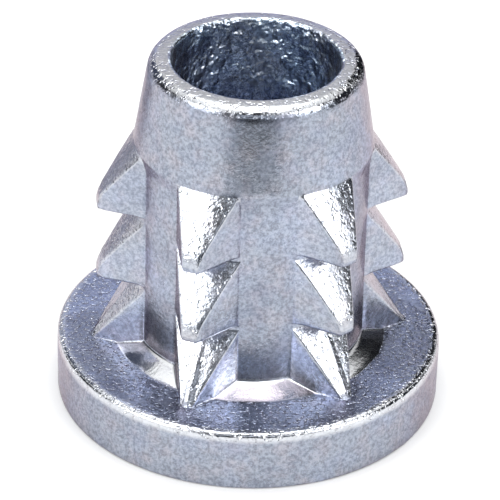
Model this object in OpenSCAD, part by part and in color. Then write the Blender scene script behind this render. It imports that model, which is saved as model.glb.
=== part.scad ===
// Flanged knock-in insert nut, one die-cast zinc piece.
//
// The nut is hammered into a drilled hole in a wooden panel, nose first, until
// its flange seats. Six columns of saw-tooth barbs let it in and hold it there.
// A machine screw enters through the flange, and its end runs free in the wider
// relief bore at the nose.
//
// Millimetres, +Z up. The origin is the centre of the flange's underside, the
// nose points along +Z, and one barb column lies along +X.

/* [Overall] */
// Length from the flange's underside to the rim of the nose
overall_h = 13.9; // [13.4:0.1:16]

/* [Flange] */
// Diameter of the flange
flange_d = 14.5; // [13.6:0.1:18]
// Thickness of the flange
flange_t = 2.4; // [1.9:0.1:2.7]
// Rounding of the flange's upper edge
flange_top_r = 0.25; // [0.1:0.05:0.6]
// Rounding of the flange's lower edge
flange_low_r = 0.12; // [0.05:0.01:0.4]

/* [Body] */
// Diameter of the round body between the barbs
body_d = 8.6; // [8.2:0.1:8.8]
// Width of the sloping foot ring where the body meets the flange
foot_w = 0.82; // [0.3:0.02:1.2]
// Height of that foot ring
foot_h = 0.37; // [0.2:0.01:0.6]

/* [Nose] */
// Diameter of the nose at its wide end, above the first barbs
nose_root_d = 8.84; // [8.82:0.02:9.2]
// Diameter that the nose's taper would reach at the rim
nose_tip_d = 7.76; // [7.3:0.02:8.2]
// Rounding of the nose's rim
nose_edge_r = 0.4; // [0.1:0.05:0.5]
// Height at which the nose ends and the first barbs begin
shoulder_z = 10.62; // [10.4:0.02:11.2]

/* [Barbs] */
// Number of barb columns round the body
barb_columns = 6; // [4:1:7]
// Number of barbs in each column
barb_rows = 3; // [1:1:3]
// Distance from one barb to the next along a column
barb_pitch = 2.93; // [2.8:0.01:3.1]
// Height of one barb, where it leaves the body
barb_h = 2.54; // [2.2:0.02:2.7]
// Diameter across the barbs' points, before they are rounded
barb_d = 12; // [11:0.1:12.8]
// Angle by which a barb's underside falls towards the body
barb_hook = 5; // [0:1:12]
// Rounding of each barb's point, seen from the side
barb_point_r = 0.28; // [0.1:0.02:0.4]
// Width of a barb at its root
barb_root_w = 2.56; // [1.8:0.02:3]
// Width of a barb at its point, which is round seen from above
barb_point_w = 0.66; // [0.5:0.02:1]

/* [Bores] */
// Diameter of the thread's core bore
thread_core_d = 5; // [4.8:0.05:5.3]
// Diameter of the relief bore that opens at the nose
relief_d = 6.1; // [5.9:0.05:6.5]
// Depth of the relief bore from the rim to where it starts to narrow
relief_depth = 5; // [3:0.1:7]
// Angle of the cone between the relief bore and the thread
relief_cone = 118; // [90:2:140]
// Rounding of the relief bore's mouth
mouth_r = 0.1; // [0.05:0.01:0.2]
// Diameter of the countersink in the flange's underside
sink_d = 6.2; // [5.6:0.1:7.4]
// Full angle of the countersink
sink_angle = 90; // [60:5:120]

/* [Hidden] */
$fn = 96;

// How far one form reaches into the next, so that they join as one solid.
lap = 0.2;
// How far a cutting form reaches past the face that it opens.
past = 1;

flange_r = flange_d / 2;
body_r = body_d / 2;
nose_root_r = nose_root_d / 2;
nose_tip_r = nose_tip_d / 2;
core_r = thread_core_d / 2;
relief_r = relief_d / 2;
sink_r = sink_d / 2;

// The nose's wall leans in by this angle. The rim's rounding touches that wall
// and the flat rim.
nose_lean = atan((nose_root_r - nose_tip_r) / (overall_h - shoulder_z));
nose_edge_z = overall_h - nose_edge_r;
nose_edge_x = nose_tip_r + nose_edge_r * tan(nose_lean) - nose_edge_r / cos(nose_lean);
nose_touch_x = nose_edge_x + nose_edge_r * cos(nose_lean);
nose_touch_z = nose_edge_z + nose_edge_r * sin(nose_lean);

// One barb, seen from the side: the point lies where the leading slope meets the
// underside, which rises outwards by barb_hook.
point_r = barb_d / 2;
point_drop = barb_h - (point_r - body_r) * tan(barb_hook);
barb_lean = atan((point_r - nose_root_r) / point_drop);
// The point's rounding touches the slope and the underside.
point_half = (90 + barb_hook - barb_lean) / 2;
point_turn = barb_lean + point_half;
round_back = barb_point_r / sin(point_half);
touch_back = round_back * cos(point_half);

// One barb, seen from above: two flanks run from the root and touch the round
// point.
tip_r = barb_point_w / 2;
tip_x = point_r - tip_r;
root_w = barb_root_w / 2;
root_x = sqrt(pow(body_r, 2) - pow(root_w, 2));
flank = atan(root_w / (tip_x - root_x)) - asin(tip_r / norm([tip_x - root_x, root_w]));

// Height at which barb row i leaves the wall. Row 0 is the one by the nose.
function row_z(i) = shoulder_z - i * barb_pitch;

// The wall's section from the axis outwards, before the bores are cut.
module body_section() {
    polygon([
        [0, 0],
        [flange_r - flange_low_r, 0],
        [flange_r, flange_low_r],
        [flange_r, flange_t - flange_top_r],
        [flange_r - flange_top_r, flange_t],
        [body_r + foot_w, flange_t],
        [body_r, flange_t + foot_h],
        [body_r, shoulder_z - (nose_root_r - body_r)],
        [nose_root_r, shoulder_z],
        [nose_touch_x, nose_touch_z],
        [nose_edge_x, overall_h],
        [0, overall_h]
    ]);
    translate([flange_r - flange_top_r, flange_t - flange_top_r]) circle(r = flange_top_r);
    translate([flange_r - flange_low_r, flange_low_r]) circle(r = flange_low_r);
    translate([nose_edge_x, nose_edge_z]) circle(r = nose_edge_r);
}

// The section of one barb ring: a leading slope, a rounded point and an
// underside that falls back towards the body. Its slope starts at height 0.
module barb_section() {
    polygon([
        [body_r - lap, -barb_h - lap * tan(barb_hook)],
        [point_r - touch_back * cos(barb_hook), -point_drop - touch_back * sin(barb_hook)],
        [point_r - touch_back * sin(barb_lean), -point_drop + touch_back * cos(barb_lean)],
        [nose_root_r, 0],
        [body_r - lap, (nose_root_r - body_r + lap) / tan(barb_lean)]
    ]);
    translate([point_r - round_back * sin(point_turn), -point_drop + round_back * cos(point_turn)])
        circle(r = barb_point_r);
}

// The section of the last ring, whose slope runs straight into the flange.
module seat_section() {
    fall = row_z(barb_rows - 1) - flange_t + lap;
    polygon([
        [body_r - lap, -fall],
        [nose_root_r + fall * tan(barb_lean), -fall],
        [nose_root_r, 0],
        [body_r - lap, (nose_root_r - body_r + lap) / tan(barb_lean)]
    ]);
}

// One column's outline from above.
module column_plan() {
    polygon([
        [root_x - lap, -root_w - lap * tan(flank)],
        [tip_x + tip_r * sin(flank), -tip_r * cos(flank)],
        [tip_x + tip_r * sin(flank), tip_r * cos(flank)],
        [root_x - lap, root_w + lap * tan(flank)]
    ]);
    translate([tip_x, 0]) circle(r = tip_r);
}

// All barbs: rings with the barb sections, kept only where the columns stand.
module barbs() {
    intersection() {
        rotate_extrude() {
            if (barb_rows > 1) for (i = [0:barb_rows - 2])
                translate([0, row_z(i)]) barb_section();
            translate([0, row_z(barb_rows - 1)]) seat_section();
        }
        for (k = [0:barb_columns - 1]) rotate([0, 0, k * 360 / barb_columns])
            linear_extrude(height = overall_h) column_plan();
    }
}

// The relief bore with its rounded mouth, the cone, the thread's core and the
// countersink, all on one axis.
module bores() {
    relief_z = overall_h - relief_depth;
    cone_z = relief_z - (relief_r - core_r) / tan(relief_cone / 2);
    sink_z = (sink_r - core_r) / tan(sink_angle / 2);
    translate([0, 0, -past]) cylinder(r = core_r, h = overall_h);
    translate([0, 0, relief_z]) cylinder(r = relief_r, h = relief_depth + past);
    translate([0, 0, cone_z]) cylinder(r1 = core_r, r2 = relief_r, h = relief_z - cone_z);
    cylinder(r1 = sink_r, r2 = core_r, h = sink_z);
    mouth();
}

// What is cut from the rim to round the bore's mouth.
module mouth() {
    rotate_extrude() difference() {
        translate([relief_r - mouth_r, overall_h - mouth_r]) square(2 * mouth_r);
        translate([relief_r + mouth_r, overall_h - mouth_r]) circle(r = mouth_r);
    }
}

// The whole casting.
module insert_nut() {
    color("#9a9ca3") difference() {
        union() {
            rotate_extrude() body_section();
            barbs();
        }
        bores();
    }
}

insert_nut();
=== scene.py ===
import math
from collections import namedtuple

import bpy
import numpy as np
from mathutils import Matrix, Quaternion, Vector


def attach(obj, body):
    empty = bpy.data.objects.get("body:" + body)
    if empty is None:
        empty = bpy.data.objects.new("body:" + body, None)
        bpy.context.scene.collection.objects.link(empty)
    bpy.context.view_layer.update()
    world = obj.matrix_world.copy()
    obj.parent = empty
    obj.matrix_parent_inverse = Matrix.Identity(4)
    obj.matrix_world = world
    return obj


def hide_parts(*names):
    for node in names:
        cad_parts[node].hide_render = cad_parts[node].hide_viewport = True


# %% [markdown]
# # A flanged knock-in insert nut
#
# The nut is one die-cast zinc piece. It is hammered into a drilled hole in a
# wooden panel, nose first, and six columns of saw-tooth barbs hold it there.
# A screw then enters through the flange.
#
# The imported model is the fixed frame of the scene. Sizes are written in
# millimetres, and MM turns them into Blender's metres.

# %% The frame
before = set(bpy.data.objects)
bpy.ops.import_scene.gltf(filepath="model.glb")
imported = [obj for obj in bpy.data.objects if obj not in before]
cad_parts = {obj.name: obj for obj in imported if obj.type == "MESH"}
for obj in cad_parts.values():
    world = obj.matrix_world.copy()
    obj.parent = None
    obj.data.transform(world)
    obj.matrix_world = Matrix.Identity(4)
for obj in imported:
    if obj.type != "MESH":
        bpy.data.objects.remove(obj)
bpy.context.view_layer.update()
MM = 0.001

# %% [markdown]
# Node trees are built by one small function. It adds a node, sets its options
# and fills its inputs. Values after the options fill the inputs in their order,
# and a named value fills the input with that name or, as in _6, with that
# number. A value may be a plain number or colour, another node or one of its
# outputs. A node stands for its first output.
#
# Blender's own calls would take some three lines for each node, and a function
# for each kind of node would hide what they are.
#
# A second helper turns a colour written as on a paint card (sRGB hex) into the
# linear numbers that a shader works with.

# %% Helpers for nodes and colours
def add(tree, kind, options=None, *values, **named):
    node = tree.nodes.new(kind)
    for key, value in (options or {}).items():
        setattr(node, key, value)
    inputs = list(zip(node.inputs, values))
    for key, value in named.items():
        place = int(key[1:]) if key.startswith("_") else key.replace("_", " ")
        inputs.append((node.inputs[place], value))
    for socket, value in inputs:
        if isinstance(value, bpy.types.Node):
            value = value.outputs[0]
        if isinstance(value, bpy.types.NodeSocket):
            tree.links.new(value, socket)
        else:
            socket.default_value = value
    return node


def linear(code):
    parts = [int(code[i:i + 2], 16) / 255 for i in (1, 3, 5)]
    parts = [c / 12.92 if c <= 0.04045 else ((c + 0.055) / 1.055) ** 2.4 for c in parts]
    return (*parts, 1.0)


print("white as paint and as light: #FFFFFF,", linear("#FFFFFF"))

# %% [markdown]
# The camera comes first, because every later choice is judged through it. A
# wide lens close by would make the flange bulge. A long lens from farther away
# keeps it calm, as is usual for a small product. It looks down at the nut from
# in front and a little from the left, and it is rolled by under two degrees.

# %% Camera
VIEW_AZIMUTH = math.radians(-8.3)
VIEW_ELEVATION = math.radians(34.075)
VIEW_DISTANCE = 117.29 * MM
VIEW_ROLL = math.radians(1.684)
AIM = Vector((-0.029, 0.004, 5.753)) * MM
LENS, SENSOR = 219.83, 36
CLIP_NEAR, CLIP_FAR = 5 * MM, 20

camera = bpy.data.objects.new("camera", bpy.data.cameras.new("camera"))
bpy.context.collection.objects.link(camera)
camera.location = VIEW_DISTANCE * Vector((
    math.sin(VIEW_AZIMUTH) * math.cos(VIEW_ELEVATION),
    -math.cos(VIEW_AZIMUTH) * math.cos(VIEW_ELEVATION),
    math.sin(VIEW_ELEVATION)))
camera.rotation_mode = "QUATERNION"
level_view = (camera.location - AIM).to_track_quat("Z", "Y")
camera.rotation_quaternion = level_view @ Quaternion((0, 0, 1), VIEW_ROLL)
camera.data.sensor_width = SENSOR
camera.data.lens = LENS
camera.data.clip_start, camera.data.clip_end = CLIP_NEAR, CLIP_FAR
bpy.context.scene.camera = camera
bpy.context.scene.view_settings.view_transform = "Standard"
print("camera", round(VIEW_DISTANCE / MM, 1), "mm away, lens", LENS, "mm")

# %% [markdown]
# The nut could be cut out of solids with booleans, as in CAD, but the edges of
# such a mesh are hard to soften evenly. Here the wall is drawn as profiles,
# which are lines of points from the bore over the rim and down the outside. A
# profile is a row of stretches. Each stretch has a name, a path, a number of
# steps along it, and the rounding of the corner where it starts: how much the
# corner takes off the paths, and in how many steps it bends.
#
# Every profile has the same number of points, so neighbours are joined by
# quads.

# %% Profiles
Stretch = namedtuple("Stretch", "name path steps trim bend")
MOST_TRIM = 0.42  # the largest share of a path that one rounded corner may take


def length(path):
    """How long a path is."""
    return float(np.sum(np.linalg.norm(np.diff(np.array(path, float), axis=0), axis=1)))


def sample(path, steps, skip_start, skip_end):
    """Evenly spaced points along a path, with a bit left out at either end."""
    path = np.array(path, float)
    gone = np.concatenate([[0], np.cumsum(np.linalg.norm(np.diff(path, axis=0), axis=1))])
    wanted = np.linspace(skip_start, gone[-1] - skip_end, steps + 1)
    return np.stack([np.interp(wanted, gone, path[:, k]) for k in (0, 1)], 1)


def profile(stretches):
    """The points of a row of stretches, and the number of the stretch of each point."""
    cuts = [0.0] + [min(s.trim, MOST_TRIM * length(before.path), MOST_TRIM * length(s.path))
                    for before, s in zip(stretches, stretches[1:])] + [0.0]
    points, numbers = [], []
    for k, s in enumerate(stretches):
        part = sample(s.path, s.steps, cuts[k], cuts[k + 1])
        if k:
            start, corner, end = points[-1][-1], np.array(s.path[0], float), part[0]
            t = np.linspace(0, 1, s.bend + 1)[1:-1, None]
            points.append((1 - t) ** 2 * start + 2 * t * (1 - t) * corner + t * t * end)
            numbers += [k - 1] * len(t)
        points.append(part)
        numbers += [k] * len(part)
    return np.concatenate(points), np.array(numbers)


print("a stretch has", ", ".join(Stretch._fields))

# %% [markdown]
# These are the nut's sizes in millimetres: the flange, the body with its sloping
# foot ring, the nose, the barbs and the bores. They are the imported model's own,
# apart from the barbs' points, which are blunter here. They could be measured
# off its mesh, but named numbers are easier to read and to change. What hangs
# on them is worked out.

# %% Sizes
OVERALL = 13.9
FLANGE_R, FLANGE_T = 7.25, 2.4
BODY_R, FOOT_W, FOOT_H = 4.3, 0.82, 0.37
NOSE_ROOT_R, NOSE_TIP_R, SHOULDER_Z = 4.42, 3.88, 10.62
COLUMNS, ROWS, PITCH = 6, 3, 2.93
BARB_H, POINT_DROP = 2.54, 2.466  # from a barb's top to its underside, and to a sharp point
POINT_R, BARB_REACH = 6.0, 5.79  # radii of that sharp point and of the blunt one that is left
ROOT_HALF, TIP_ROUND = 1.28, 0.33  # a column's half width, and its round end from above
CORE_R, RELIEF_R, SINK_R = 2.5, 3.05, 3.1  # the thread, the wide bore, the countersink
RELIEF_Z, CONE_Z = 8.9, 8.5695  # where the wide bore and the cone below it end
HALF_SECTOR = 180 / COLUMNS  # in degrees

LEAN = math.atan((POINT_R - NOSE_ROOT_R) / POINT_DROP)
ROOT_X = math.sqrt(BODY_R ** 2 - ROOT_HALF ** 2)
TIP_X = POINT_R - TIP_ROUND
FLANK = (math.atan(ROOT_HALF / (TIP_X - ROOT_X))
         - math.asin(TIP_ROUND / math.hypot(TIP_X - ROOT_X, ROOT_HALF)))
print("barb slope leans", round(math.degrees(LEAN), 2), "degrees, and a flank",
      round(math.degrees(FLANK), 2), "degrees")

# %% [markdown]
# The barbs are saw-tooth rings that are kept only where the six columns stand.
# Two rules then give any point: how far out the column reaches at an angle, and
# how high the tooth is there.
#
# This is the first rule. Seen from above, a column has two straight flanks and
# a round point. Each flank ends in a small step just above the round body,
# because the slides of the die meet there. The rule is plain trigonometry. A
# boolean cut would give the same outline, with points in worse places.

# %% How far a column reaches
ROOT_STEP, STEP_WIDE = 0.08, math.radians(1.2)  # the step's height in mm, and its width
SEARCH = np.radians(np.arange(10, 20, 0.01))  # angles at which a flank may end


def flank_over(angle):
    """How far the straight flank stands over the round body at this angle."""
    touch = TIP_X + TIP_ROUND * math.sin(FLANK), TIP_ROUND * math.cos(FLANK)
    slope = math.tan(FLANK)
    return (touch[1] + touch[0] * slope) / (math.sin(angle) + math.cos(angle) * slope) - BODY_R


ROOT_ANGLE = next(a for a in SEARCH if flank_over(a) <= ROOT_STEP)


def column_reach(angle):
    """How far out the column stands at this angle from its middle."""
    angle = abs(angle)
    if angle < math.atan2(TIP_ROUND * math.cos(FLANK), TIP_X + TIP_ROUND * math.sin(FLANK)):
        across = TIP_X * math.sin(angle)
        return TIP_X * math.cos(angle) + math.sqrt(TIP_ROUND ** 2 - across ** 2)
    if angle <= ROOT_ANGLE:
        return BODY_R + flank_over(angle)
    down = max(0.0, 1 - (angle - ROOT_ANGLE) / STEP_WIDE)
    return BODY_R + ROOT_STEP * down ** 2


print("a column's flank ends", round(math.degrees(ROOT_ANGLE), 2), "degrees from its middle")

# %% [markdown]
# The second rule needs two tools. One bends a path round a centre. The other
# cuts a path off at a radius, because a barb ends where its column ends.

# %% Arcs and clipped paths
def clip(path, reach):
    """Keeps the part of a path, which runs outwards, that lies within the reach."""
    kept = [p for p in path if p[0] < reach]
    if len(kept) < len(path) and kept:
        a, b = kept[-1], path[len(kept)]
        share = (reach - a[0]) / (b[0] - a[0])
        kept.append((reach, a[1] + share * (b[1] - a[1])))
    return kept if kept else [path[0]]


def arc(centre, radius, first, last, steps):
    """Points round a centre, from one angle to another."""
    return [(centre[0] + radius * math.cos(first + (last - first) * k / steps),
             centre[1] + radius * math.sin(first + (last - first) * k / steps))
            for k in range(steps + 1)]


print("a quarter arc ends at", np.round(arc((0, 0), 1, 0, math.pi / 2, 4)[-1], 3))

# %% [markdown]
# This is the second rule. Seen from the side, a barb has a long slope that
# pushes the wood aside, a blunt point, and an underside that holds and falls
# slightly towards the point. Where the column ends, its flank drops straight
# from the slope to the underside. Each profile could get its own drawing of a
# barb, but it is surer to draw the slope and the underside once, as far as the
# point, and to clip both at the column's reach.

# %% One barb from the side
EDGE, SOFT, SLIGHT = 0.12, 0.07, 0.05  # how far the corners are rounded
POINT_ROUND, POINT_EDGE = 0.80, 0.08  # the point's rounding above and below
UNDER_FALL = 0.07  # how far the underside falls towards the point
SHOULDER_STEEP = 4  # how steeply the nose steps down to the body between the columns


def slope_start(row):
    """Where a row's slope leaves the round body."""
    return BODY_R, SHOULDER_Z - PITCH * row + (NOSE_ROOT_R - BODY_R) / math.tan(LEAN)


def barb_stretches(row, reach):
    """The slope, the flank and the underside of one barb, and the wall below it."""
    top = SHOULDER_Z - PITCH * row
    reach = min(reach, BARB_REACH)
    back = POINT_R - BARB_REACH + POINT_ROUND
    upper = (BARB_REACH - POINT_ROUND,
             top - POINT_DROP + (back * math.cos(LEAN) - POINT_ROUND) / math.sin(LEAN))
    lower = BARB_REACH - POINT_EDGE, top - BARB_H - UNDER_FALL + POINT_EDGE
    start = (NOSE_ROOT_R, top) if row == 0 else slope_start(row)
    if row == 0 and reach < NOSE_ROOT_R:
        slope = [start, (reach, top - SHOULDER_STEEP * (NOSE_ROOT_R - reach))]
    else:
        slope = clip([start] + arc(upper, POINT_ROUND, LEAN, 0.0, 10), reach)
    under = clip([(BODY_R, top - BARB_H)] + arc(lower, POINT_EDGE, -math.pi / 2, 0.0, 6), reach)
    slope = slope if len(slope) > 1 else slope * 2
    under = under[::-1] if len(under) > 1 else under * 2
    return [Stretch("slope", slope, 9, SLIGHT, 2),
            Stretch("flank", [slope[-1], under[0]], 9, EDGE, 4),
            Stretch("underside", under, 7, EDGE, 3),
            Stretch("wall", [under[-1], slope_start(row + 1)], 1, SOFT, 2)]


print("a barb's slope, flank, underside and wall have",
      [s.steps for s in barb_stretches(0, BARB_REACH)], "steps")

# %% [markdown]
# The last barb in each column has no underside. Its slope runs on towards the
# flange, and between the columns a sloping foot ring stiffens the corner. Below
# come the flange, with its soft upper edge, and the small countersink that lets
# a screw find the thread. Blender's Screw modifier could turn all of these but
# the barb. Here the same row of stretches makes them together.

# %% The last barb and the flange
FLANGE_TOP_ROUND, FLANGE_LOW_ROUND = 0.25, 0.12
FOOT_SOFT = 0.06  # where the foot ring meets the flange


def seat_stretches(reach):
    """The last barb's slope and flank, and the foot ring."""
    start = slope_start(ROWS - 1)
    foot = FLANGE_T + FOOT_H * max(0.0, 1 - (reach - BODY_R) / FOOT_W)
    top = max(start[1] - (reach - BODY_R) / math.tan(LEAN), foot)
    ring = max(BODY_R + FOOT_W, reach)
    return [Stretch("slope", [start, (reach, top)], 10, SLIGHT, 1),
            Stretch("flank", [(reach, top), (reach, foot)], 9, EDGE, 4),
            Stretch("foot", [(reach, foot), (ring, FLANGE_T)], 5, SOFT, 2)]


def flange_stretches(inner):
    """The flange from the point where its top starts, round to the thread."""
    rim, low, sink = (FLANGE_R, FLANGE_T), (FLANGE_R, 0), (SINK_R, 0)
    return [Stretch("top", [inner, rim], 14, FOOT_SOFT, 2),
            Stretch("side", [rim, low], 12, FLANGE_TOP_ROUND, 5),
            Stretch("bottom", [low, sink], 16, FLANGE_LOW_ROUND, 3),
            Stretch("sink", [sink, (CORE_R, SINK_R - CORE_R)], 4, SLIGHT, 2)]


print("the foot ring is", FOOT_W, "mm wide and", FOOT_H, "mm high")

# %% [markdown]
# The nose is a steep cone with a rounded rim, which slips into the drilled hole.
# The rim isn't quite flat. It falls outwards by a hair, and its inner edge is
# rounded too, because a die-cast edge is never sharp. The nose could be turned
# on its own, but as the top of the same profile it needs no joint.

# %% The nose and the whole profile
NOSE_EDGE, NOSE_EDGE_START = 0.45, math.radians(78)  # its rounding, from this angle down
MOUTH, CONE_SOFT = 0.16, 0.06  # rounding of the bore's mouth and of the cone in it
RIM_FLAT, RIM_FALL = 0.16, 0.02  # the rim's flat inner part, and how far the rest falls

NOSE_LEAN = math.atan((NOSE_ROOT_R - NOSE_TIP_R) / (OVERALL - SHOULDER_Z))
nose_centre = (NOSE_TIP_R + NOSE_EDGE * math.tan(NOSE_LEAN) - NOSE_EDGE / math.cos(NOSE_LEAN),
               OVERALL - RIM_FALL - NOSE_EDGE)
nose_round = arc(nose_centre, NOSE_EDGE, NOSE_EDGE_START, NOSE_LEAN, 10)


def sector_stretches(reach):
    """The whole wall, from the thread's upper end to its lower end."""
    mouth = RELIEF_R, OVERALL
    stretches = [
        Stretch("cone", [(CORE_R, CONE_Z), (RELIEF_R, RELIEF_Z)], 3, 0.0, 1),
        Stretch("bore", [(RELIEF_R, RELIEF_Z), mouth], 34, CONE_SOFT, 2),
        Stretch("rim", [mouth, (RELIEF_R + RIM_FLAT, OVERALL), nose_round[0]], 4, MOUTH, 5),
        Stretch("edge", nose_round, 8, 0.0, 1),
        Stretch("nose", [nose_round[-1], (NOSE_ROOT_R, SHOULDER_Z)], 18, 0.0, 1)]
    for row in range(ROWS - 1):
        stretches += barb_stretches(row, reach)
    stretches += seat_stretches(reach)
    return stretches + flange_stretches(stretches[-1].path[-1])


print("a profile has", len(sector_stretches(BODY_R)), "stretches")

# %% [markdown]
# One sixth of the wall is enough, because the nut repeats every 60 degrees. Its
# profiles could stand at even angles, but a fine edge needs them close together.
# So they crowd at the barb's point and at the roots of its flanks, and stand
# wide apart on the round body, where little happens.

# %% Profiles of one sector
POINT_ANGLE = 2.8  # how far the barb's round point reaches, in degrees
ROOT_FINE = np.array([0.3, 0.7, 1.2])  # the step at a flank's root, in degrees from it

root = math.degrees(ROOT_ANGLE)
half = np.concatenate([np.linspace(0, POINT_ANGLE, 5), np.linspace(POINT_ANGLE, root, 10)[1:],
                       root + ROOT_FINE, np.linspace(root + ROOT_FINE[-1], HALF_SECTOR, 9)[1:]])
aligned = np.radians(np.concatenate([-half[:0:-1], half]))
names = [s.name for s in sector_stretches(BODY_R)]
numbers = profile(sector_stretches(BODY_R))[1]
rows = np.array([profile(sector_stretches(column_reach(angle)))[0] for angle in aligned])
print("sector:", rows.shape[0], "profiles of", rows.shape[1], "points")

# %% [markdown]
# Now the profiles are set round the axis. On the outside each one stands at its
# own angle. The thread that they have to meet is spaced evenly. The seam could
# be stitched with triangles, but it is neater to let the profiles drift to even
# angles as they go down the bore, and again across the flange's underside. The
# surface is round or flat there, so the drift can't be seen.

# %% Places round the axis
even = np.radians(np.linspace(-HALF_SECTOR, HALF_SECTOR, len(aligned)))
share = np.zeros(len(numbers))
for number, name in enumerate(names):
    where = np.nonzero(numbers == number)[0]
    step = np.arange(len(where)) / len(where)
    share[where] = {"cone": 1.0, "bore": 1 - step, "bottom": step, "sink": 1.0}.get(name, 0.0)
angles = aligned[:, None] * (1 - share) + even[:, None] * share
grid = np.stack([rows[:, :, 0] * np.cos(angles), rows[:, :, 0] * np.sin(angles), rows[:, :, 1]], -1)
print("even spacing:", round(math.degrees(even[1] - even[0]), 3), "degrees")

# %% [markdown]
# Neighbouring profiles are joined by quads. Where a barb runs out, many points
# fall together. They are merged here, while it is known which belong together,
# and a quad that loses a side becomes a triangle or is left out. That keeps the
# mesh closed, with no folded or empty faces.

# %% Sector mesh
SAME_POINT = 2e-4  # in mm

keys, vertices, index = {}, [], np.zeros(grid.shape[:2], int)
for i, j in np.ndindex(*index.shape):
    key = tuple(np.round(grid[i, j] / SAME_POINT).astype(int))
    if key not in keys:
        keys[key] = len(vertices)
        vertices.append(grid[i, j] * MM)
    index[i, j] = keys[key]
faces = []
for i, j in np.ndindex(index.shape[0] - 1, index.shape[1] - 1):
    corners = [index[i, j], index[i, j + 1], index[i + 1, j + 1], index[i + 1, j]]
    face = [v for n, v in enumerate(corners) if v != corners[n - 1]]
    if len(set(face)) == len(face) >= 3:
        faces.append(face)
sector = bpy.data.meshes.new("sector")
sector.from_pydata(vertices, [], faces)
print("sector mesh:", len(vertices), "points,", len(faces), "faces")

# %% [markdown]
# The finish isn't the same all over. Paint masks could say where, but the parts
# of the profile already know. So four values are kept at every point, and the
# material reads them:
#
# - skin: how coarse the cast surface is,
# - dull: how much of the bluish passivation film shows, and how much painted
#   shade darkens the recesses: the flange top, the barb undersides, deep in the bore,
# - polish: how much the parts have rubbed on each other in the tumbler,
# - inside: the bore, which the tumbler never reaches.
#
# Some of them grow with height. The dull value, film and painted shade, grows
# down the bore, darker deeper in, the polish comes just under the rim, and a
# little polish returns low on the body.

# %% Finish of each part
VALUES = "skin", "dull", "polish", "inside"
# The dull column is partly painted shade: it is highest in the recesses, the flange top, the barb
# undersides and the cone.
FINISH = {
    "cone": (0.90, 0.30, 0.00, 1.0), "bore": (0.55, 0.20, 0.00, 1.0),
    "rim": (0.65, 0.00, 0.60, 0.0), "edge": (0.80, 0.00, 0.70, 0.0),
    "nose": (0.30, 0.00, 0.00, 0.0), "slope": (0.62, 0.00, 0.35, 0.0),
    "flank": (0.30, 0.12, 0.08, 0.0), "underside": (0.50, 0.30, 0.00, 0.0),
    "wall": (0.35, 0.10, 0.00, 0.0), "foot": (0.30, 0.00, 1.00, 0.0),
    "top": (0.88, 0.44, 0.16, 0.0), "side": (0.30, 0.00, 0.00, 0.0),
    "bottom": (0.25, 0.10, 0.00, 0.0), "sink": (0.25, 0.10, 0.00, 0.0)}
# The bore's dull value grows deeper in, as painted shade down the bore.
GROWTH = {  # what grows, to how much, from what height, over what height in mm (down if negative)
    "bore": ("dull", 0.95, OVERALL - 2.1, -1.6), "edge": ("polish", 0.80, OVERALL - 0.28, 0.15),
    "wall": ("polish", 0.15, 4.7, -1.8)}
print("parts with a finish:", len(FINISH))

# %% [markdown]
# Each point gets the values of the part that it lies on. Two places need more
# care. The flange's upper edge is rubbed as the nose's is, and between the
# columns the barb's parts lie flat on the round body, so they are finished as
# plain wall. All this could be painted by hand, but then a new size would mean a
# new painting.

# %% Values kept at the points
BARB_PARTS = "slope", "flank", "underside", "wall"
FLANGE_EDGE = 0.27  # how far the flange's rubbed upper edge reaches

part_r, part_z = rows[0, :, 0], rows[0, :, 1]
on_edge = (part_r > FLANGE_R - FLANGE_EDGE) & (part_z > FLANGE_T - FLANGE_EDGE)
between = np.abs(aligned) > ROOT_ANGLE
values = np.zeros((len(vertices), len(VALUES)))
for j, number in enumerate(numbers):
    part, line = names[number], index[:, j]
    values[line] = FINISH["edge" if on_edge[j] else part]
    if part in BARB_PARTS:
        part, line = "wall", line[between]
        values[line] = FINISH["wall"]
    if part in GROWTH:
        name, most, start, over = GROWTH[part]
        z = np.array([vertices[k][2] for k in line]) / MM
        values[line, VALUES.index(name)] = most * np.clip((z - start) / over, 0, 1)
for place, name in enumerate(VALUES):
    layer = sector.attributes.new(name, "FLOAT", "POINT")
    layer.data.foreach_set("value", values[:, place].astype(np.float32))
print("points with", len(VALUES), "finish values each:", len(values))

# %% [markdown]
# Geometry Nodes make the rest of the nut, because it follows rules. Array and
# Screw modifiers could do much of it, but a tree keeps its sizes as inputs with
# names, so that a deeper thread or a rougher skin is one changed number. The
# tree turns the sector into a ring of six, adds the thread, joins both, and
# makes the skin a little uneven.

# %% The node tree and its inputs
LENGTH = "NodeSocketFloat"
sizes = {"Columns": ("NodeSocketInt", COLUMNS),
         "Core radius": (LENGTH, CORE_R * MM), "Thread depth": (LENGTH, 0.5 * MM),
         "Pitch": (LENGTH, 1.0 * MM), "Run-out": (LENGTH, 0.3 * MM),
         "Thread start": (LENGTH, (SINK_R - CORE_R) * MM), "Thread end": (LENGTH, CONE_Z * MM),
         "Unevenness": (LENGTH, 0.035 * MM), "Seed": ("NodeSocketFloat", 4.0)}

tree = bpy.data.node_groups.new("nut from one sector", "GeometryNodeTree")
tree.interface.new_socket("Sector", in_out="INPUT", socket_type="NodeSocketGeometry")
for name, (kind, value) in sizes.items():
    tree.interface.new_socket(name, in_out="INPUT", socket_type=kind).default_value = value
tree.interface.new_socket("Material", in_out="INPUT", socket_type="NodeSocketMaterial")
tree.interface.new_socket("Nut", in_out="OUTPUT", socket_type="NodeSocketGeometry")
given = add(tree, "NodeGroupInput").outputs
print("inputs:", ", ".join(sizes))

# %% [markdown]
# The outside is six copies of the sector round the axis. The copies could be
# turned one by one in the script. Here as many points as there are columns lie
# at the origin, and each carries one copy, turned by its own number of steps.

# %% Ring of sectors
MATH, TURN = "ShaderNodeMath", 2 * math.pi
ADD, SUBTRACT, MULTIPLY, DIVIDE, MULTIPLY_ADD = (
    {"operation": name} for name in ("ADD", "SUBTRACT", "MULTIPLY", "DIVIDE", "MULTIPLY_ADD"))
CLAMPED = {"use_clamp": True}

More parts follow.
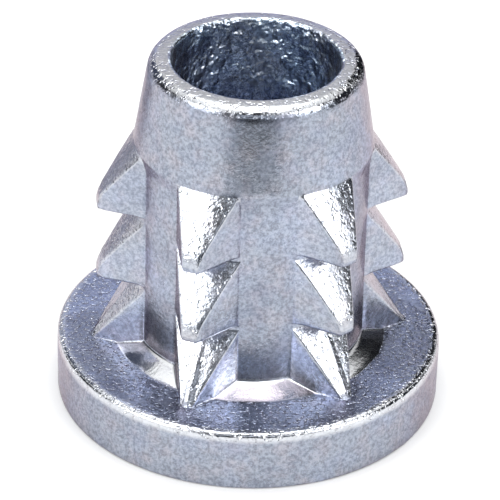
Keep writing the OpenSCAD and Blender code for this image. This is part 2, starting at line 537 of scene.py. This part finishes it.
spots = add(tree, "GeometryNodePoints", {}, given["Columns"])
one_step = add(tree, MATH, DIVIDE, TURN, given["Columns"])
own_turn = add(tree, MATH, MULTIPLY, add(tree, "GeometryNodeInputIndex"), one_step)
turned = add(tree, "ShaderNodeCombineXYZ", Z=own_turn)
ring = add(tree, "GeometryNodeInstanceOnPoints", Points=spots, Instance=given["Sector"],
           Rotation=turned)
wall = add(tree, "GeometryNodeRealizeInstances", {}, ring)
print("a copy is turned by", 360 / COLUMNS, "degrees")

# %% [markdown]
# The thread takes a machine screw. A ridge could be swept along a helix, but it
# would end in two stumps and not meet the wall. So a flat grid is rolled up
# instead. One of its directions runs once round the bore, and the other runs up
# it. The height grows by one pitch a turn, so the rows follow the helix. At both
# ends they are held at the height where the thread starts and stops, and there
# they lie flat on each other until they are merged.

# %% Thread: rows along the helix
STEPS_ROUND = COLUMNS * (len(aligned) - 1)  # as many as the wall has, so that both meet
ROWS_PER_TURN, TURNS = 8, 9

flat = add(tree, "GeometryNodeMeshGrid", Size_X=1.0, Size_Y=1.0,
           Vertices_X=STEPS_ROUND + 1, Vertices_Y=ROWS_PER_TURN * TURNS + 1)
place = add(tree, "ShaderNodeSeparateXYZ", {}, add(tree, "GeometryNodeInputPosition")).outputs
part_turn = add(tree, MATH, ADD, place["X"], 0.5)
row_turn = add(tree, MATH, MULTIPLY_ADD, place["Y"], TURNS, TURNS / 2 - 1)
whole_turn = add(tree, MATH, ADD, row_turn, part_turn)
height = add(tree, MATH, MULTIPLY_ADD, whole_turn, given["Pitch"], given["Thread start"])
held = add(tree, "ShaderNodeClamp", {}, height, given["Thread start"], given["Thread end"])
print("thread grid:", STEPS_ROUND, "by", ROWS_PER_TURN * TURNS, "faces")

# %% [markdown]
# Seen in section, a metric thread has flat crests, a quarter of the pitch wide,
# flat roots, an eighth wide, and straight flanks between them. A zigzag that is
# stretched and then clamped between nought and one gives just that. At both
# ends the ridges fade, as they do where a tap enters and leaves.

# %% Thread: ridges and run-outs
CREST_FLAT, ROOT_FLAT = 0.25, 0.125
FLANK_SHARE = 1 - CREST_FLAT - ROOT_FLAT

zigzag = add(tree, MATH, {"operation": "PINGPONG"}, row_turn, 0.5)
ridge = add(tree, MATH, MULTIPLY_ADD | CLAMPED, zigzag, 2 / FLANK_SHARE, -CREST_FLAT / FLANK_SHARE)
from_start = add(tree, MATH, SUBTRACT, held, given["Thread start"])
to_end = add(tree, MATH, SUBTRACT, given["Thread end"], held)
fade_in = add(tree, MATH, DIVIDE | CLAMPED, from_start, given["Run-out"])
fade_out = add(tree, MATH, DIVIDE | CLAMPED, to_end, given["Run-out"])
full_cut = add(tree, MATH, MULTIPLY, ridge, given["Thread depth"])
cut = add(tree, MATH, MULTIPLY, full_cut, add(tree, MATH, MULTIPLY, fade_in, fade_out))
radius = add(tree, MATH, ADD, given["Core radius"], cut)
print("flanks take", FLANK_SHARE, "of the pitch")

# %% [markdown]
# The rows now have a radius and a height, so the grid can be rolled into a
# tube. The tube's faces look at the axis. The thread gets its own finish values:
# it is cut metal, finer than the cast skin, half finished as the bore, and its
# dull value paints the bore's shade onto it.

# %% Thread: rolled up
# The thread's dull value is painted shade from the bore around it.
THREAD_FINISH = {"skin": 0.15, "dull": 0.30, "inside": 0.60}

angle = add(tree, MATH, MULTIPLY, part_turn, TURN)
across = [add(tree, MATH, MULTIPLY, radius, add(tree, MATH, {"operation": name}, angle))
          for name in ("COSINE", "SINE")]
rolled = add(tree, "ShaderNodeCombineXYZ", {}, *across, held)
thread = add(tree, "GeometryNodeSetPosition", Geometry=flat, Position=rolled)
for name, value in THREAD_FINISH.items():
    thread = add(tree, "GeometryNodeStoreNamedAttribute", {"data_type": "FLOAT", "domain": "POINT"},
                 Geometry=thread, Name=name, Value=value)
facing = add(tree, "GeometryNodeFlipFaces", {}, thread)
print("the thread's finish:", THREAD_FINISH)

# %% [markdown]
# Ring and thread are one piece on the real nut, with no gap between them. A
# boolean union could join them, but it would disturb the neat quads. They share
# their points where they meet, so merging those points is enough.

# %% Ring and thread joined
WELD = 1e-6  # in metres

joined = add(tree, "GeometryNodeJoinGeometry")
for part in (wall, facing):
    tree.links.new(part.outputs[0], joined.inputs[0])
merged = add(tree, "GeometryNodeMergeByDistance", Geometry=joined, Distance=WELD)
print("points closer than", WELD / MM, "mm are merged")

# %% [markdown]
# A casting is never as even as its drawing, because the metal shrinks as it
# cools. So the whole skin is pushed in by noise with waves about a millimetre
# long, more where the skin is coarse. It only goes inwards, so the nut keeps its
# outer size. Sculpting could do it too, but noise with a fixed seed gives the
# same nut on each run.

# %% Cast skin
WAVES_PER_MM = 1.1
SCALE = {"operation": "SCALE"}

strength = add(tree, "GeometryNodeInputNamedAttribute", {"data_type": "FLOAT"}, Name="skin")
in_mm = add(tree, "ShaderNodeVectorMath", SCALE, add(tree, "GeometryNodeInputPosition"), Scale=1 / MM)
waves = add(tree, "ShaderNodeTexNoise", {"noise_dimensions": "4D"}, Vector=in_mm,
            W=given["Seed"], Scale=WAVES_PER_MM, Detail=3.0, Roughness=0.6)
pull = add(tree, MATH, MULTIPLY, add(tree, MATH, MULTIPLY, waves, strength), given["Unevenness"])
inwards = add(tree, "ShaderNodeVectorMath", SCALE, add(tree, "GeometryNodeInputNormal"),
              Scale=add(tree, MATH, MULTIPLY, pull, -1.0))
cast = add(tree, "GeometryNodeSetPosition", Geometry=merged, Offset=inwards)
smooth = add(tree, "GeometryNodeSetShadeSmooth", {}, cast)
finished = add(tree, "GeometryNodeSetMaterial", Geometry=smooth, Material=given["Material"])
add(tree, "NodeGroupOutput", {}, add(tree, "GeometryNodeRealizeInstances", {}, finished))
print("node tree with", len(tree.nodes), "nodes")

# %% [markdown]
# The real finish is zinc that was die-cast, tumbled to take its flash off, and
# blue-passivated: dipped, so that a very thin bluish film protects it. To the
# eye that is a satin grey metal with a fine grain and soft clouds, faintly blue
# in the hollows and brighter on the edges. The hollows also get painted shade,
# through the same film layer.
#
# A painted texture would need an unwrapped nut. Noise on Object coordinates
# doesn't, and each pattern takes its size from a real one, in millimetres. The
# film changes over some 2 mm, the clouds of the dip over 1.4 mm, and the lumps
# in the bore are 0.6 mm. The cast grain, its glints and its pores are really
# 0.1 mm or less, which is two or three pixels of a small render. They are drawn
# at 0.27, 0.14 and 0.17 mm, as coarse as they need to show.

# %% Patterns of the blue-passivated die-cast zinc
NOISE = "ShaderNodeTexNoise"
FILM, FILM_SEED = 2.2, 5.2
PATTERNS = {  # size in mm, detail, roughness
    "cloud": (1.40, 5.0, 0.6), "lump": (0.62, 2.2, 0.6), "grain": (0.27, 2.0, 0.6),
    "glint": (0.14, 2.0, 0.8), "pore": (0.17, 1.0, 0.6), "warmth": (0.80, 3.0, 0.6),
    "bore": (1.70, 1.0, 0.6)}

finish = bpy.data.materials.new("blue-passivated die-cast zinc, tumbled")
finish.use_nodes = True
shade = finish.node_tree
shade.nodes.clear()
spot = add(shade, "ShaderNodeTexCoord").outputs["Object"]
spot = add(shade, "ShaderNodeMapping", {}, spot, Scale=(1 / MM,) * 3)
film = add(shade, NOISE, {"noise_dimensions": "4D"}, Vector=spot, W=FILM_SEED, Scale=1 / FILM,
           Detail=3.0)
pattern = {name: add(shade, NOISE, Vector=spot, Scale=1 / size, Detail=detail, Roughness=roughness)
           for name, (size, detail, roughness) in PATTERNS.items()}
kept = {name: add(shade, "ShaderNodeAttribute", {"attribute_name": name}).outputs["Fac"]
        for name in VALUES}
print("patterns in mm:", {"film": FILM} | {name: size[0] for name, size in PATTERNS.items()})

# %% [markdown]
# The colour is built up in layers, as the real surface is. The bare zinc is
# faintly warm in places. Over it lie the bore's cleaner metal, then the film,
# thick and thin in patches. Where the dull value is high, on the flange top, the
# barb undersides and deep in the bore, this layer is also painted shade. Then
# come the edges, polished by tumbling, and the dark that has stayed between the
# grains. One colour ramp would be simpler, but it couldn't keep the parts of the
# nut apart.
#
# Map Range turns a noise into how much of a layer shows. Its four numbers are
# the band of the noise that counts, and what shows at either end of that band.

# %% Colour in layers
RANGE, MIX, RGBA = "ShaderNodeMapRange", "ShaderNodeMix", {"data_type": "RGBA"}
ZINC, ZINC_WARM, ZINC_INSIDE, ZINC_BLUE = "#AEB5C2", "#BFB6BC", "#D6DDE6", "#DCEEFF"
FILM_THICK, FILM_THIN, ZINC_POLISHED, ZINC_DARK = "#7882A0", "#C2D0F4", "#EBEDF0", "#363B4B"

warmer = add(shade, RANGE, {}, pattern["warmth"], 0.45, 0.66, 0.0, 0.4)
bluer = add(shade, RANGE, {}, pattern["bore"], 0.42, 0.62, 0.0, 1.0)
thinner = add(shade, RANGE, {}, film, 0.42, 0.60, 0.0, 1.0)
patches = [add(shade, MIX, RGBA, share, _6=linear(one), _7=linear(other)).outputs[2]
           for share, one, other in ((warmer, ZINC, ZINC_WARM), (bluer, ZINC_INSIDE, ZINC_BLUE),
                                     (thinner, FILM_THICK, FILM_THIN))]
clouded = add(shade, RANGE, {}, pattern["cloud"], 0.35, 0.65, -0.10, 0.25)
# Film and painted shade: the dull value darkens the recesses, and the clouds vary the film at random.
film_and_painted_shade = add(shade, MATH, ADD | CLAMPED, kept["dull"], clouded)
dark_gaps = add(shade, RANGE, {}, pattern["glint"], 0.36, 0.62, 0.46, 0.0)
unpolished = add(shade, RANGE, {}, kept["polish"], 0.0, 1.0, 1.0, 0.0)
darkened = add(shade, MATH, MULTIPLY, dark_gaps, unpolished)
colour = patches[0]
for share, layer in ((kept["inside"], patches[1]), (film_and_painted_shade, patches[2]),
                     (kept["polish"], linear(ZINC_POLISHED)), (darkened, linear(ZINC_DARK))):
    colour = add(shade, MIX, RGBA, share, _6=colour, _7=layer).outputs[2]
print("layers of colour: bare zinc, bore, film, polish, dark between the grains")

# %% [markdown]
# Tumbled zinc mirrors softly, and where it is polished it mirrors more sharply.
# Its roughness lies between 0.2 and 0.32, and falls to about half on the edges.
# The grain could be real geometry, but bumps cost far less and look the same at
# this size. Each bump gets what the one before made of the surface: first the
# lumps of the bore, then the grain, its glints and the open pores of the coarse
# skin. The lumps are drawn deeper than real ones, because a bump tilts the
# light but moves nothing.

# %% Gloss and bumps
satin = add(shade, RANGE, {}, pattern["cloud"], 0.35, 0.65, 0.20, 0.32)
sharper = add(shade, RANGE, {}, kept["polish"], 0.0, 1.0, 1.0, 0.55)
gloss = add(shade, MATH, MULTIPLY, satin, sharper)

patchy = add(shade, RANGE, {}, pattern["cloud"], 0.38, 0.60, 0.35, 1.0)
lumpy = add(shade, MATH, MULTIPLY, kept["inside"], patchy)
grainy = add(shade, RANGE, {}, kept["skin"], 0.3, 1.0, 0.12, 1.0)
porous = add(shade, RANGE, {}, kept["skin"], 0.5, 0.9, 0.0, 1.0)
pores = add(shade, RANGE, {}, pattern["pore"], 0.28, 0.44, 0.0, 1.0)
bumps = (  # strength, depth in mm, height
    (lumpy, 0.46, pattern["lump"]), (grainy, 0.035, pattern["grain"]),
    (0.4, 0.010, pattern["glint"]), (porous, 0.045, pores))
before = {}
for strength, depth, height in bumps:
    relief = add(shade, "ShaderNodeBump", Strength=strength, Distance=depth * MM, Height=height,
                 **before)
    before = {"Normal": relief}
print("bump depths in mm:", [depth for strength, depth, height in bumps])

# %% [markdown]
# All of it meets in one Principled shader, which is fully metallic and keeps its
# default IOR. At a low angle zinc mirrors a little less than white, and slightly
# warm, which is what Specular Tint is for. A mix of a glossy and a matt shader
# could look the same, but only the Principled one survives an export.

# %% The metal
ZINC_GLANCING = "#E4D6D8"

metal = add(shade, "ShaderNodeBsdfPrincipled", Base_Color=colour, Metallic=1.0, Roughness=gloss,
            Normal=relief, Specular_Tint=linear(ZINC_GLANCING))
add(shade, "ShaderNodeOutputMaterial", {}, metal)
print("finish:", finish.name)

# %% [markdown]
# The sector now goes through the tree. Its inputs are set by their identifiers
# before the nut is first evaluated. Weighted Normal then keeps the flat faces
# flat up to their soft edges, which plain smooth shading would let bulge. The
# result is kept as a plain mesh, with no modifier left on it.

# %% Make the nut
FLAT_FACES = 60  # above 50, a large face counts for more

maker = bpy.data.objects.new("maker", sector)
bpy.context.collection.objects.link(maker)
modifier = maker.modifiers.new("nut", "NODES")
modifier.node_group = tree
settings = {name: value for name, (kind, value) in sizes.items()} | {"Material": finish}
for item in tree.interface.items_tree:
    if item.in_out == "INPUT" and item.name in settings:
        modifier[item.identifier] = settings[item.name]
weighted = maker.modifiers.new("even shading", "WEIGHTED_NORMAL")
weighted.mode, weighted.weight = "FACE_AREA_WITH_ANGLE", FLAT_FACES
evaluated = maker.evaluated_get(bpy.context.evaluated_depsgraph_get())
nut_mesh = bpy.data.meshes.new_from_object(evaluated)
nut_mesh.name = "zinc_nut"
bpy.data.objects.remove(maker)
nut = bpy.data.objects.new("zinc_nut", nut_mesh)
bpy.context.collection.objects.link(nut)
print("nut:", len(nut_mesh.vertices), "points,",
      sum(len(p.vertices) - 2 for p in nut_mesh.polygons), "triangles")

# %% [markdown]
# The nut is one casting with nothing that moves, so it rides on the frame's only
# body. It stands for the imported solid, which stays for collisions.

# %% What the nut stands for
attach(nut, "root")
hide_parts("insert_nut")
print("rides on root, replaces insert_nut")

# %% [markdown]
# A small product is usually shown on a sheet of white paper. A curved sweep of
# paper would do, but the camera looks down, so a large flat sheet is enough. It
# is far larger than the nut, so that its ends don't show in the metal.

# %% Floor
FLOOR_HALF = 1.5

floor_mesh = bpy.data.meshes.new("floor")
corners = [(x * FLOOR_HALF, y * FLOOR_HALF, 0) for x, y in ((-1, -1), (1, -1), (1, 1), (-1, 1))]
floor_mesh.from_pydata(corners, [], [(0, 1, 2, 3)])
floor = bpy.data.objects.new("floor", floor_mesh)
bpy.context.collection.objects.link(floor)
print("floor", 2 * FLOOR_HALF, "m wide")

# %% [markdown]
# White paper is matt and throws light back evenly, which is what a Diffuse
# shader does. It is a shade under white, so that the nut's shadow shows. A
# brighter lamp would make it whiter, but it would burn out the nut as well. So a
# faint glow is added, which only the camera and the metal that mirrors the paper
# get to see.

# %% Paper
PAPER, PAPER_GLOW = "#DDDDDD", 0.10

paper = bpy.data.materials.new("white paper floor")
paper.use_nodes = True
sheet = paper.node_tree
sheet.nodes.clear()
ray = add(sheet, "ShaderNodeLightPath").outputs
seen = ray["Is Camera Ray"]
for other in ("Is Glossy Ray", "Is Transmission Ray"):
    seen = add(sheet, MATH, {"operation": "MAXIMUM"}, seen, ray[other])
glow = add(sheet, "ShaderNodeEmission", Strength=add(sheet, MATH, MULTIPLY, seen, PAPER_GLOW))
matt = add(sheet, "ShaderNodeBsdfDiffuse", Color=linear(PAPER))
add(sheet, "ShaderNodeOutputMaterial", {}, add(sheet, "ShaderNodeAddShader", {}, matt, glow))
floor_mesh.materials.append(paper)
print("paper", PAPER, "with a glow of", PAPER_GLOW)

# %% [markdown]
# Metal shows what is round it, so most of its look comes from what it can
# mirror. The room is plain and white. It is a little darker halfway up and
# brightest overhead, as a light tent is. A panorama of a real room would give
# more to mirror, but its windows and furniture would show in the flange.

# %% World
HORIZON, MIDDLE, DOME = 0.94, 0.72, 1.20
LOW_BAND, HIGH_BAND = (0.0, 0.30), (0.66, 0.84)  # heights on a ball round the nut

world = bpy.data.worlds.new("studio")
bpy.context.scene.world = world
world.use_nodes = True
room = world.node_tree
room.nodes.clear()
way = add(room, "ShaderNodeTexCoord").outputs["Generated"]
up = add(room, "ShaderNodeSeparateXYZ", {}, way).outputs["Z"]
darker = add(room, RANGE, {}, up, *LOW_BAND, HORIZON, MIDDLE)
brighter = add(room, RANGE, {}, up, *HIGH_BAND, 0.0, DOME - MIDDLE)
level = add(room, MATH, ADD, darker, brighter)
back = add(room, "ShaderNodeBackground", {}, linear("#FFFFFF"), level)
add(room, "ShaderNodeOutputWorld", {}, back)
print("room from", MIDDLE, "to", DOME)

# %% [markdown]
# Three softboxes light the nut: one on each side for the flanks, and one
# overhead for the rim and the flange. Small lamps would leave hard glints on
# every barb, and large soft ones leave broad, even ones. A lamp's strength is
# usually given in watts. Here it is the radiance, because that is how bright the
# lamp looks when the metal mirrors it.

# %% Lamps
LAMP_AIM = Vector((0, 0, 6 * MM))
LAMPS = {  # azimuth and elevation in degrees, distance, width and height in m, radiance
    "softbox left": (-64, 29, 0.6, 0.36, 0.32, 3.8),
    "softbox right": (49, 26, 0.6, 0.36, 0.32, 3.8),
    "softbox above": (-8, 98, 0.5, 0.34, 0.48, 2.6)}


def toward(azimuth, elevation):
    """The direction at an azimuth from the front and an elevation, both in degrees."""
    a, e = math.radians(azimuth), math.radians(elevation)
    return Vector((math.sin(a) * math.cos(e), -math.cos(a) * math.cos(e), math.sin(e)))


for name, (azimuth, elevation, distance, wide, tall, radiance) in LAMPS.items():
    lamp = bpy.data.lights.new(name, "AREA")
    lamp.shape, lamp.size, lamp.size_y = "RECTANGLE", wide, tall
    lamp.energy = radiance * math.pi * wide * tall
    box = bpy.data.objects.new(name, lamp)
    bpy.context.collection.objects.link(box)
    box.location = distance * toward(azimuth, elevation)
    box.rotation_mode = "QUATERNION"
    box.rotation_quaternion = (box.location - LAMP_AIM).to_track_quat("Z", "Y")
    print(name, "radiance", radiance)

# %% [markdown]
# A metal nut in an all-white room looks flat, because every side mirrors the
# same white. So studios stand flags, which are small cloths of different greys,
# close to the object, and the metal takes its dark and light bands from them. A
# darker room would do it too, but it would dull the floor and the shadow.
#
# In front stands a dark flag with grey wings and a pale band above it. Those at
# the sides and behind darken the flanks there, and two pale ones behind stand
# for a white wall.

# %% Places of the flags
FLAGS = {  # from and to azimuth in degrees, from and to height and distance in mm, tone
    "flag in front": (-20, 6, 0, 31, 62, "#14161C"),
    "flag in front, left wing": (-32, -20, 0, 26, 62, "#565D6C"),
    "flag in front, right wing": (6, 18, 0, 26, 62, "#565D6C"),
    "flag in front, middle": (-26, 14, 33, 50, 62, "#F0F6FF"),
    "flag in front, top": (-26, 14, 50, 150, 62, "#16191F"),
    "flag front right": (20, 35, 9, 27, 62, "#15171D"),
    "flag front left": (-42, -26, 26, 66, 62, "#15171D"),
    "flag left": (-130, -95, 14, 48, 62, "#1B1E26"),
    "flag right": (67, 116, 8, 60, 62, "#1B1E26"),
    "flag behind right": (118, 150, 6, 34, 26, "#0C0E13"),
    "flag behind": (150, 205, 4, 23, 26, "#BCC4DE"),
    "flag behind left": (205, 235, 16, 34, 26, "#3C4356"),
    "flag behind left, low": (208, 230, 1, 16, 26, "#B2B8C6")}
print("flags:", len(FLAGS))

# %% [markdown]
# Each flag is a bent strip round the nut. A flat card would be simpler, but a
# bent one keeps the same distance and so the same sharpness. Its cloth glows in
# its own tone, which is surer than lighting it. Only mirrors see it: it is
# hidden from the camera, it lights nothing, and it throws no shadow.

# %% Flags
FLAG_PARTS = 6

for name, (first, last, bottom, top, near, tone) in FLAGS.items():
    ends = [toward(a, 0) * near * MM for a in np.linspace(first, last, FLAG_PARTS + 1)]
    mesh = bpy.data.meshes.new(name)
    mesh.from_pydata([(e.x, e.y, z * MM) for e in ends for z in (bottom, top)], [],
                     [(2 * k, 2 * k + 1, 2 * k + 3, 2 * k + 2) for k in range(FLAG_PARTS)])
    cloth = bpy.data.materials.new(name + " cloth")
    cloth.use_nodes = True
    cloth.node_tree.nodes.clear()
    tinted = add(cloth.node_tree, "ShaderNodeEmission", Color=linear(tone), Strength=1.0)
    add(cloth.node_tree, "ShaderNodeOutputMaterial", {}, tinted)
    mesh.materials.append(cloth)
    flag = bpy.data.objects.new(name, mesh)
    bpy.context.collection.objects.link(flag)
    flag.visible_camera = flag.visible_diffuse = False
    flag.visible_shadow = flag.visible_transmission = False
    print(name, "from", first, "to", last, "degrees")
